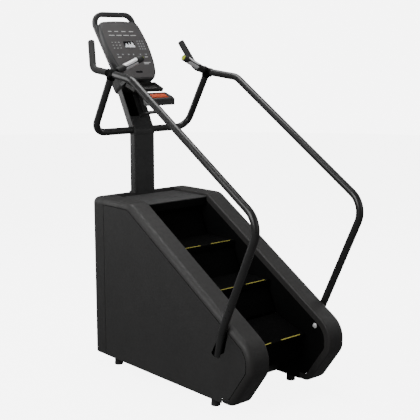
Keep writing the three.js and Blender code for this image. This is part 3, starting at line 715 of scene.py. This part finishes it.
LINKS = 100
for label, side in SIDES:
    parts = []
    spacing = 2 * (CHAIN_RUN + math.pi * PITCH_R) / LINKS
    for i in range(LINKS):
        (y, z), angle = chain_line((i + 0.5) * spacing)
        c, s = math.cos(angle), math.sin(angle)
        shape = [(y + p * c - q * s, z + p * s + q * c) for p, q in link_shape(spacing, 13.4)]
        for x in ((257.2, 265.2) if i % 2 else (255.2, 267.2)):
            parts.append(across(shape, side * x, side * (x + 1.6)))
        (y, z), angle = chain_line(i * spacing)
        parts.append(lathe([(0, 0), (3.6, 0), (3.6, 13), (0, 13)], at(side * 255.4, y, z),
                           at(side * 270, y, z), 12))
    piece(f"{label}_chain", merge(*parts), "steel",
          stands_for=[f"{label}_step_chain"], sharp=25)


def gear(centre, x0, x1):
    """Chain sprocket."""
    teeth, root, tip = 12, 33.5, 40.2
    outline = []
    for k in range(teeth):
        for share, radius in ((-0.24, root + 1), (-0.12, root), (0.12, root), (0.24, root + 1),
                              (0.38, tip), (0.62, tip)):
            outline.append(polar(centre, radius, 2 * math.pi * (k + share) / teeth))
    return across(outline, x0, x1, 0.5, 1)


for label, centre in (("upper", HIGH_AXLE), ("lower", LOW_AXLE)):
    y, z = centre
    near, far = 331.5, 353 if label == "upper" else 331.5  # the upper one carries a drive wheel
    shaft = [(0, 0), (13, 0), (15, 2), (15, near + far - 2), (13, near + far), (0, near + far)]
    parts = [lathe(shaft, at(-near, y, z), at(0, y, z), 40)]
    for side in (-1, 1):
        parts.append(gear(centre, side * 257.4, side * 266.8))
        hub = [(15, 0), (26, 0), (27, 1), (27, 10), (26, 11), (15, 11)]
        parts.append(lathe(hub, at(side * 246, y, z), at(side * 400, y, z), 32))
    if label == "upper":
        wheel = [(15, 337.2), (64, 337.2), (66, 338), (66, 350.2), (64, 351), (15, 351)]
        parts.append(lathe(wheel, at(0, y, z), at(400, y, z), 56))
    piece(f"{label}_axle_set", merge(*parts), "steel", f"{label}_axle_body",
          [f"{label}_axle"], 30)

GENERATOR = gy, gz = 840, 250
casing = [(10.6, 248), (70, 248), (78, 252)]
for x in range(254, 288, 6):
    casing += [(79.6, x), (79.6, x + 3), (75, x + 3.4), (75, x + 5.6)]
casing += [(78, 290), (70, 292), (10.6, 292)]
shell = lathe(casing, at(0, gy, gz), at(400, gy, gz), 56)
foot = block((251, 289), (806, 874), (100.6, 190), 3)
piece("brake_generator", merge(shell, foot), "steel", stands_for=["generator"])
disc = [(0, 254), (10, 254), (10, 298.4), (60, 298.4), (64, 304), (92, 304), (96, 298.4),
        (108, 298.4), (110, 300), (110, 320), (108, 321.6), (96, 321.6), (92, 316), (64, 316),
        (60, 321.6), (10, 321.6), (10, 337.2), (20, 337.2), (22, 338.4), (22, 349.8),
        (20, 351), (0, 351)]
piece("flywheel_disc", lathe(disc, at(0, gy, gz), at(400, gy, gz), 64), "steel",
      "flywheel_body", ["flywheel"])


def belt(rise):
    """Belt's line over the drive wheel and the flywheel's pulley, a little above both."""
    wheel, pulley, arc = 66, 22, 20
    reach = Vector((HIGH_AXLE[0] - gy, HIGH_AXLE[1] - gz))
    facing = math.atan2(reach.y, reach.x)
    half = math.acos((wheel - pulley) / reach.length)
    out = []
    for centre, radius, start, end in ((HIGH_AXLE, wheel, facing - half, facing + half),
                                       (GENERATOR, pulley, facing + half,
                                        facing - half + 2 * math.pi)):
        for k in range(arc + 1):
            out.append(polar(centre, radius + rise, start + (end - start) * k / arc))
    return out


bands = [across([belt(4), belt(1)], 338.2 + 3 * k, 340.6 + 3 * k, 0.3, 1) for k in range(4)]
piece("ribbed_belt", merge(*bands, across([belt(4.2), belt(2.4)], 338.2, 349.6)), "grip",
      stands_for=["drive_belt"])

fins = [block((-208, -52), (1041, 1049), (382, 558), 1)]
fins += [block((-205 + 10 * k, -202 + 10 * k), (1048, 1059.6), (386, 554), 0.6)
         for k in range(16)]
piece("motor_controller", merge(*fins), "steel", stands_for=["drive_controller"])

socket = [block(x, (1047, 1071), z, 0.4) for x, z in (
    ((-272, -228), (118.8, 121)), ((-272, -228), (139, 141.2)),
    ((-272, -269), (119, 141)), ((-231, -228), (119, 141)))]
socket.append(block((-271, -229), (1046.4, 1049), (119, 141), 0.4))
socket += [block(x, (1070.4, 1073), z, 0.8) for x, z in (
    ((-276, -224), (141, 146)), ((-276, -224), (114, 119)),
    ((-276, -269), (114, 146)), ((-231, -224), (114, 146)))]
piece("inlet_socket", merge(*socket), "inner", stands_for=["power_inlet"])
pins = [block((x - 1, x + 1), (1049, 1064), (127, 133), 0.5) for x in (-257, -250, -243)]
piece("inlet_pins", merge(*pins), "copper")

cap = [(0, 6), (7, 5.6), (11.6, 4.4), (14.4, 2), (15, 0), (0, 0)]
piece("sensor_button", lathe(cap[::-1], at(239.6, -262, 399), at(0, -262, 399), 40), "bright_metal_painted_reflection",
      stands_for=["step_sensor"])


# ------------------------------ steel frame

def base_frame():
    """Two side frames with slanted bearing beams, joined by cross-members."""
    z0, z1 = MEMBER_Z
    parts = []
    for side in (-1, 1):
        x = sorted((side * 285, side * 325))
        for y, z in (((-140, 1040), (z0, z1)), ((1000, 1040), (z1, 1030)),
                     ((-140, -100), (z1, 330)), ((20, 60), (z1, 300)), ((500, 540), (z1, 590))):
            parts.append(block(x, y, z, 3))
        parts.append(block(sorted((side * 320, side * 348)), (-134, -104), (286, 330), 2))
        beam = [along(*p) for p in ((-30, -26), (CHAIN_RUN + 10, -26), (CHAIN_RUN + 10, 26),
                                    (-30, 26))]
        parts.append(across(beam, x[0], x[1], 3))
    for y in MEMBERS:
        parts.append(block((-325, 325), y, (z0, z1), 3))
    parts.append(block((-325, 325), (1000, 1040), (500, 540), 3))
    parts.append(block((-325, 325), (1000, 1050), (995, 1030), 3))
    parts.append(block((248, 292), (800, 880), (z0, z1), 2))
    parts.append(block((-236, 236), (15, 19), (z1 - 2, 220), 1))
    return merge(*parts)


piece("welded_frame", base_frame(), "frame", stands_for=["base_frame"])

for name, x, y in (("rear_left", -305, -19), ("rear_right", 305, -19),
                   ("front_left", -305, 898), ("front_right", 305, 898)):
    pad = [(0, -8), (25, -8), (27, -6), (27, 6), (25.6, 8), (25.6, 36), (24, 41), (19, 44),
           (9, 45), (0, 45)]
    piece(f"foot_{name}_pad", lathe(pad, at(x, y, 0), at(x, y, 50), 40), "rubber",
          f"foot_{name}_body", [f"foot_{name}"])
    stem = [(0, 44)]
    for k in range(10):
        stem += [(7.8, 45 + 4 * k), (6.8, 47 + 4 * k)]
    stem += [(7.4, 86), (0, 86)]
    nut = [(12.4, 44), (13.4, 45.5), (13.4, 49.5), (12.4, 51)]
    screw = lathe(stem, at(x, y, 0), at(x, y, 100), 24)
    hexagon = lathe([(0, 44), *nut, (0, 51)], at(x, y, 0), at(x, y, 100), 6)
    piece(f"foot_{name}_screw", merge(screw, hexagon), "steel",
          f"foot_{name}_body", sharp=25)


# ------------------------------ the mast

LEAN, FOLD, MAST_Y = math.radians(27.2), 1425, 1026.5
post = sweep(rounded(80, 26.5, 7), [(at(0, MAST_Y, z), X, Z.cross(X)) for z in (1030.6, FOLD)])
piece("mast_post", bevel(post, 0.6, 1, 60), "frame", stands_for=["mast"])


def leaning(y, start, length, section):
    """Section carried up and then along the lean, from a place on the mast."""
    way = route([at(0, y, FOLD + GAP), at(0, y, start),
                 at(0, y + length * math.sin(LEAN), start + length * math.cos(LEAN))], 0.05)
    return sweep(in_metres(section), [(p, X, h.cross(X)) for p, h in way])


def flat_bar(x0, x1, half):
    return [(x0, -half), (x1, -half), (x1, half), (x0, half)]


# Leaning channel, open towards the user, that carries the console
outer = [(80, -26.4), (80, 21), (76, 26.4), (-76, 26.4), (-80, 21), (-80, -26.4)]
inner = [(-75.6, -26.4), (-75.6, 20), (-73, 22), (73, 22), (75.6, 20), (75.6, -26.4)]
piece("mast_channel", bevel(leaning(MAST_Y, 1444, 366, outer + inner), 0.8, 2, 60), "frame",
      stands_for=["upper_mast"])
piece("mast_closing_plate", bevel(leaning(1001.6, 1452, 96, flat_bar(-75, 75, 1.6)), 0.6, 1),
      "frame")
# Near-black sheet on the channel's back wall: painted shade inside the channel below the console
piece("mast_painted_shade_liner", leaning(1046, 1442, 330, flat_bar(-72, 30, 0.8)), "joint_and_painted_shade")


# ------------------------------ the console

def tilted(x, y, z, degrees):
    """Matrix of a frame at a layout point, tilted up towards the user."""
    return Matrix.Translation(at(x, y, z)) @ Matrix.Rotation(math.radians(degrees), 4, "X")


def within(frame_matrix, x, y, z):
    """A point of a tilted frame, in millimetres, as a point of the shared frame."""
    return frame_matrix @ Vector((x / 1000, y / 1000, z / 1000))


CONSOLE = tilted(0, 1070, 1850, 55.12)


def on_face(x, v, w):
    """Console frame: x across, v up the face, w out of it, in millimetres."""
    return within(CONSOLE, x, v, w)


FACE = [(0, -97), (70, -97), (101, -90), (124, -62), (139, -31), (155, 30), (164, 92),
        (168, 154), (166, 216), (159, 280), (150, 320), (130, 340), (60, 348), (0, 350)]


def smooth_half(points):
    """Catmull-Rom through the half outline, mirrored into a whole one."""
    steps = 6
    ghost = [(-points[1][0], points[1][1])] + points + [(-points[-2][0], points[-2][1])]
    half = []
    for i in range(1, len(ghost) - 2):
        p = [Vector(q) for q in ghost[i - 1:i + 3]]
        for k in range(steps):
            t = k / steps
            q = 0.5 * (2 * p[1] + (p[2] - p[0]) * t + (2 * p[0] - 5 * p[1] + 4 * p[2] - p[3]) * t * t
                       + (3 * p[1] - p[0] - 3 * p[2] + p[3]) * t ** 3)
            half.append((q.x, q.y))
    half.append(points[-1])
    return half + [(-x, y) for x, y in half[-2:0:-1]]


OUTLINE = smooth_half(FACE)


def shrunk(less):
    """Console outline drawn in towards its middle."""
    middle = 120
    out = []
    for x, y in OUTLINE:
        reach = math.hypot(x, y - middle)
        keep = (reach - less) / reach
        out.append((x * keep, middle + (y - middle) * keep))
    return out


def loft(levels):
    """Solid through outlines of equal length at heights w: levels of (outline, w)."""
    bm = bmesh.new()
    return skin(bm, [[bm.verts.new(on_face(x, y, w)) for x, y in outline]
                     for outline, w in levels])


front = [(shrunk(0.8), -31), (shrunk(0), -30), (shrunk(0), -9), (shrunk(0.8), -5.4),
         (shrunk(2.6), -2.4), (shrunk(5.4), -0.6), (shrunk(9), 0), (shrunk(11.4), 0)]
piece("console_case", loft(front), "console",
      stands_for=["console_front_shell", "console_board"])
back = [(shrunk(22), -31.5), (shrunk(40), -33), (shrunk(40.6), -48), (shrunk(44), -58),
        (shrunk(52), -65), (shrunk(64), -68)]
piece("console_back", loft(back), "cover", stands_for=["console_rear_shell"])

sheet_levels = [(shrunk(12.2), -0.2), (shrunk(12.2), 1.2), (shrunk(13), 1.6)]
piece("console_face", loft(sheet_levels), "overlay",
      stands_for=["console_overlay"])


def face_plate(x, v, w, radius, size=0.0):
    """Plate with rounded corners on the console's face."""
    outline = soft_loop([(x[0], v[0]), (x[1], v[0]), (x[1], v[1]), (x[0], v[1])], radius)
    bm = prism([outline], *w, on_face)
    return bevel(bm, size) if size else bm


piece("display_glass", face_plate((-30, 53), (138, 189), (-1, 2.1), 5, 0.5), "smoke",
      stands_for=["display_window"])
peaks = (2, 4, 6, 5, 3, 4, 7, 5, 4, 6, 8, 6, 3)
dots = []
for column, height in enumerate(peaks):
    for row in range(height):
        x, v = -26 + 6 * column, 143 + 5.2 * row
        dots.append(face_plate((x, x + 4.6), (v, v + 3.8), (1.9, 2.35), 0.8))
piece("display_dots", merge(*dots), "lit")

MARK = (1.5, 1.85)  # from just below to just above the overlay
bars = []
for x0, x1, v in ((-112, -86, 262), (-62, -34, 262), (-8, 24, 262), (52, 86, 262),
                  (-118, -74, 232), (-60, -20, 232), (-6, 38, 232), (52, 96, 232),
                  (66, 120, 24), (66, 104, 14), (-120, -92, 66), (92, 120, 66)):
    bars.append(face_plate((x0, x1), (v, v + 4.6), MARK, 1))
for row in range(4):
    for column in range(3):
        x, v = 82 + 20 * column, 128 + 20 * row
        bars.append(face_plate((x, x + 5), (v, v + 5), MARK, 1.6))
for row in range(3):
    for column in range(3):
        x, v = -122 + 26 * column, 136 + 22 * row
        bars.append(face_plate((x, x + 12), (v, v + 2.6), MARK, 1))
piece("face_marks", merge(*bars), "label")

KEY_ROW = (-122, -84, -38, 0, 54, 100)
keys = [face_plate((x, x + 22), (80, 96), (1.5, 2.5), 6, 0.4) for x in KEY_ROW]
for row in range(4):
    for column in range(3):
        x, v = 75 + 20 * column, 121 + 20 * row
        keys.append(face_plate((x, x + 17), (v, v + 16), (1.4, 1.75), 4, 0.2))
piece("face_keys", merge(*keys), "key")
tips = [face_plate((x + 8, x + 14), (85, 91), (2.4, 2.7), 2) for x in KEY_ROW]
piece("face_key_marks", merge(*tips), "label")
piece("face_slot", face_plate((-30, 26), (-50, -36), (1.4, 2), 6.5, 0.3), "smoke")


def neck_ring(half_x, low, high, radius):
    return soft_loop([(-half_x, low), (half_x, low), (half_x, high), (-half_x, high)], radius, 8)


# Neck cover behind the console, and the chin below its face
neck = [(neck_ring(92, -86, 116, 30), -67), (neck_ring(92, -86, 110, 30), -84),
        (neck_ring(90, -86, 92, 28), -130), (neck_ring(88, -85, 66, 26), -180),
        (neck_ring(82, -80, 50, 24), -202), (neck_ring(72, -70, 38, 20), -211)]
piece("console_neck_cover", loft(neck), "cover", stands_for=["console_neck"])
chin = prism([soft_loop([(-64, -99), (-64, -36.4), (-84, -36.4), (-91.6, -44), (-91.6, -66),
                         (-86, -99)], 5)], -103.6, 103.6, lambda v, w, x: on_face(x, v, w))
piece("console_chin", bevel(chin, 4, 3, 50), "console")

hoop_path = [(147, -12, -47.8), (150, 345, -47.8), (150, 410, -20)]
hoop_path += [(-x, v, w) for x, v, w in hoop_path[::-1]]
hoop_way = route([on_face(*p) for p in hoop_path], [0.04, 0.062, 0.062, 0.04])
hoop = sweep(rounded(15.8, 15.8, 8, 6), frames_along(hoop_way, X))
piece("console_hoop", hoop, "console", stands_for=["grab_hoop"])


# ------------------------------ tray and stop button

def open_box(x, y, z, wall, turn):
    """Tray: floor and four walls."""
    sides = ((x, y, (z[0], z[0] + wall)), ((x[0], x[0] + wall), y, z), ((x[1] - wall, x[1]), y, z),
             (x, (y[0], y[0] + wall), z), (x, (y[1] - wall, y[1]), z))
    return merge(*[block(*spans, 1.2, 2, turn) for spans in sides])


TRAY = tilted(0, 995, 1715, 22)
bracket = prism([[(46, -5.6), (76.2, -5.6), (68.6, 5.6), (46, 5.6)]], -39.6, 39.6,
                lambda y, z, x: within(TRAY, x, y, z))
piece("phone_tray", merge(open_box((-114, 114), (-48, 48), (-6, 18), 4.5, TRAY),
                          bevel(bracket, 1)), "cover_satin",
      stands_for=["accessory_tray"])

STOP = tilted(0, 857.5, 1674.2, 26.6)
STOP_HALF = 102.6
TAPER, TAPER_FROM = 25 / 58, 852  # of the bar's ends, seen from above


def stop_place(y, z, x):
    """Stop bar's own frame, its ends drawn in on the far side."""
    spot = within(STOP, x, y, z)
    if abs(x) == STOP_HALF:
        far = max(0.0, spot.y - at(0, TAPER_FROM, 0).y)
        spot.x -= math.copysign(TAPER * far, x)
    return spot


low_shape = [(-50.1, -14.8), (-60.2, -36.6), (-32, -51.6), (-4, -66), (27, -51.6), (43, -19.7),
             (42.2, -14.8), (-6, -14.8)]
near_rail = [(-50.1, -15.2), (-44.4, -3), (-39.6, -0.2), (-27.2, -0.2), (-27.2, -15.2)]
far_rail = [(27.2, -15.2), (27.2, -0.2), (39.6, -0.2), (42.2, -15.2)]
end_rail = near_rail[:3] + [(-6, -0.2)] + far_rail[2:] + [(-6, -15.2)]
low_body = bevel(prism([low_shape], -STOP_HALF, STOP_HALF, stop_place), 1.2)
rails = [bevel(prism([shape], lo, hi, stop_place), 1) for shape, lo, hi in (
    (near_rail, -80, 80), (far_rail, -80, 80), (end_rail, -STOP_HALF, -72.2),
    (end_rail, 72.2, STOP_HALF))]
piece("stop_bar_case", merge(low_body, *rails), "console",
      stands_for=["stop_housing"])
press = merge(block((-71, 71), (-26, 26), (-10.4, -3.2), 2.5, 3, STOP),
              block((-64, 64), (-20, 20), (-6, 1.2), 3, 3, STOP))
piece("stop_bar_button", press, "orange", "stop_button_body", ["stop_button"])
piece("stop_bar_arm", tube([(0, 1035.4, 1539), (0, 1010, 1555), (0, 868.7, 1573),
                            (0, 861.2, 1610)], [40, 26], 11, ends=0), "frame",
      stands_for=["stop_arm"])


# ------------------------------ handlebars and handrails

HUB, REACH = (374, 821, 1815), 36
RAIL = [(408, 583, 1786), (408, -465.2, 1105), (403, -178, 480), (371, -112, 322)]
CORNER, ELBOW, TIP = (371, 1028, 1452), (403, 972, 1840), (352, 1061, 2007)
PULSE = (163, 803, 1905)


def collar(hub, target):
    """Clamp collar with a groove near its end and a rounded edge."""
    size = 26
    profile = [(0, -8), (size - 2, -8), (size, -6), (size, REACH - 12), (size - 1.4, REACH - 11),
               (size - 1.4, REACH - 9), (size, REACH - 8), (size, REACH - 2), (size - 2, REACH),
               (0, REACH)]
    return lathe(profile, hub, target, 36)


def contact_plate(base, tip, turn):
    """Curved metal plate with rounded ends along one side of a pulse grip."""
    bm = bmesh.new()
    axis = (tip - base).normalized()
    up = (Z - axis * axis.z).normalized()
    other = axis.cross(up)
    start, length, wrap = 52.6, 104.8, math.radians(80)
    steps, columns = 14, 12
    rows = []
    for s in range(steps + 1):
        share = s / steps
        place = base + axis * (start + length * share) / 1000
        reach = wrap * math.sqrt(max(0.0, 1 - (2 * share - 1) ** 8))
        angles = [reach * (2 * j / columns - 1) + turn for j in range(columns + 1)]
        rows.append([[bm.verts.new(place + (up * math.cos(a) + other * math.sin(a)) * radius)
                      for a in angles] for radius in (0.0178, 0.021)])
    for one, two in zip(rows, rows[1:]):
        for j in range(columns):
            for k in (0, 1):
                bm.faces.new([one[k][j], one[k][j + 1], two[k][j + 1], two[k][j]])
        for j in (0, columns):
            bm.faces.new([one[0][j], one[1][j], two[1][j], two[0][j]])
    for row in (rows[0], rows[-1]):
        for j in range(columns):
            bm.faces.new([row[0][j], row[0][j + 1], row[1][j + 1], row[1][j]])
    return bm


def handles(label, side):
    """Handrail, horn, clamp hub and pulse grip of one side."""

    def layout(p):
        return (side * p[0], p[1], p[2])

    def flip(p):
        return at(*layout(p))

    start = layout(toward(HUB, RAIL[0], REACH + GAP))
    piece(f"{label}_rail", tube([start] + [layout(p) for p in RAIL], [110, 130, 90], 22,
                                steps=16), "rail",
          stands_for=[f"{label}_handrail"])
    start = layout(toward(HUB, ELBOW, REACH + GAP))
    horn = tube([start, layout(ELBOW), layout(TIP)], [55], 21, steps=14, ends=8)
    piece(f"{label}_horn", horn, "grip", stands_for=[f"{label}_horn_grip"])

    hub = flip(HUB)
    bolt = toward(HUB, (HUB[0] + 40, HUB[1] - 4, HUB[2] - 36), 1)
    knob = lathe([(0, 0), (11, 0), (11, 30), (13, 31), (13, 39), (11, 42), (6, 44), (0, 44)],
                 hub, flip(bolt), 28)
    collars = [collar(hub, flip(p)) for p in (RAIL[0], ELBOW, PULSE, CORNER)]
    piece(f"{label}_junction", merge(*collars, knob), "inner",
          stands_for=[f"{label}_clamp"])

    base, tip = flip(toward(HUB, PULSE, REACH + GAP)), flip(PULSE)
    grip = [(0, 0), (18, 0), (20.5, 2), (20.5, 50), (19.8, 52), (17.5, 52), (17.5, 158),
            (19.8, 158), (20.5, 160), (20.5, 190), (19, 194), (16.4, 196), (16, 195),
            (15.9, 186.6), (0, 186.6)]
    piece(f"{label}_pulse_body", lathe(grip, base, tip, 48), "grip",
          stands_for=[f"{label}_pulse_grip"])
    piece(f"{label}_contact_front", contact_plate(base, tip, 0), "bright_metal_painted_reflection",
          stands_for=[f"{label}_pulse_plate"])
    piece(f"{label}_contact_back", contact_plate(base, tip, math.pi), "bright_metal_painted_reflection")
    button = [(0, 189), (15.4, 189), (15.4, 196.4), (14.4, 198), (10, 198.5), (9.4, 197.4),
              (9, 196.8), (0, 197.2)]
    piece(f"{label}_lime_button", lathe(button, base, tip, 40), "lime",
          f"{label}_thumb_button_body", [f"{label}_thumb_button"])


for label, side in SIDES:
    handles(label, side)

bar = [tuple(toward(HUB, CORNER, REACH + GAP)), CORNER]
bar += [(-x, y, z) for x, y, z in bar[::-1]]
piece("handlebar_tube", tube(bar, [85, 85], 22, steps=16), "rail",
      stands_for=["handlebar_frame"])


# ------------------------------ floor, light, camera

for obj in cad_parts.values():
    if not obj.hide_render:
        obj.data.materials.clear()
        obj.data.materials.append(MAT["inner"])


def backdrop(name, build, strength):
    """Plain pale surface that the camera sees; it throws no light of its own on the object."""
    bm = bmesh.new()
    build(bm)
    for face in bm.faces:
        face.smooth = True
    obj = add_object(name, mesh_from(name, bm))
    pale = finish(name, grey(0.8), 0.9, grain=40, bump=0.02, vary=0.01)
    obj.data.materials.append(lit(pale, (1, 1, 1), strength))
    obj.visible_diffuse = False
    obj.visible_glossy = False
    obj.visible_shadow = False


backdrop("studio_floor", lambda bm: bmesh.ops.create_circle(
    bm, cap_ends=True, segments=96, radius=16), 6)
backdrop("studio_wall", lambda bm: bmesh.ops.create_uvsphere(
    bm, u_segments=48, v_segments=24, radius=30), 6.5)

world = bpy.data.worlds.new("studio")
world.use_nodes = True
world.node_tree.nodes["Background"].inputs["Color"].default_value = (1, 1, 1, 1)
world.node_tree.nodes["Background"].inputs["Strength"].default_value = 0.12
bpy.context.scene.world = world


def area_light(name, place, target, size, power):
    light = bpy.data.lights.new(name, "AREA")
    light.shape = "RECTANGLE"
    light.size, light.size_y = size
    light.energy = power
    obj = add_object(name, light)
    obj.location = place
    aim = Vector(target) - Vector(place)
    obj.rotation_euler = aim.to_track_quat("-Z", "Y").to_euler()


area_light("key_light", (-4.4, -0.8, 3.0), (0, 0, 0.9), (3.2, 3.2), 160)
area_light("fill_light", (1.5, -5.0, 2.4), (0, 0, 0.9), (3, 3), 26)
area_light("top_light", (0.2, 0.8, 4.8), (0, 0, 1.0), (2.4, 2.4), 110)
area_light("side_light", (4.8, -0.6, 2.2), (0, 0, 0.9), (2.6, 2.6), 45)
area_light("back_light", (-2.2, 5.0, 2.4), (0, 0, 0.9), (3.2, 3.2), 70)

camera = bpy.data.cameras.new("camera")
camera.lens = 79.52
camera.sensor_width = 36
eye = add_object("camera", camera)
azimuth, elevation = math.radians(41.647), math.radians(10.089)
forward = Vector((math.sin(azimuth) * math.cos(elevation), math.cos(azimuth) * math.cos(elevation),
                  -math.sin(elevation)))
eye.location = at(-3612, -3689, 1983)
eye.rotation_mode = "QUATERNION"
eye.rotation_quaternion = forward.to_track_quat("-Z", "Y")
bpy.context.scene.camera = eye

bpy.context.view_layer.update()
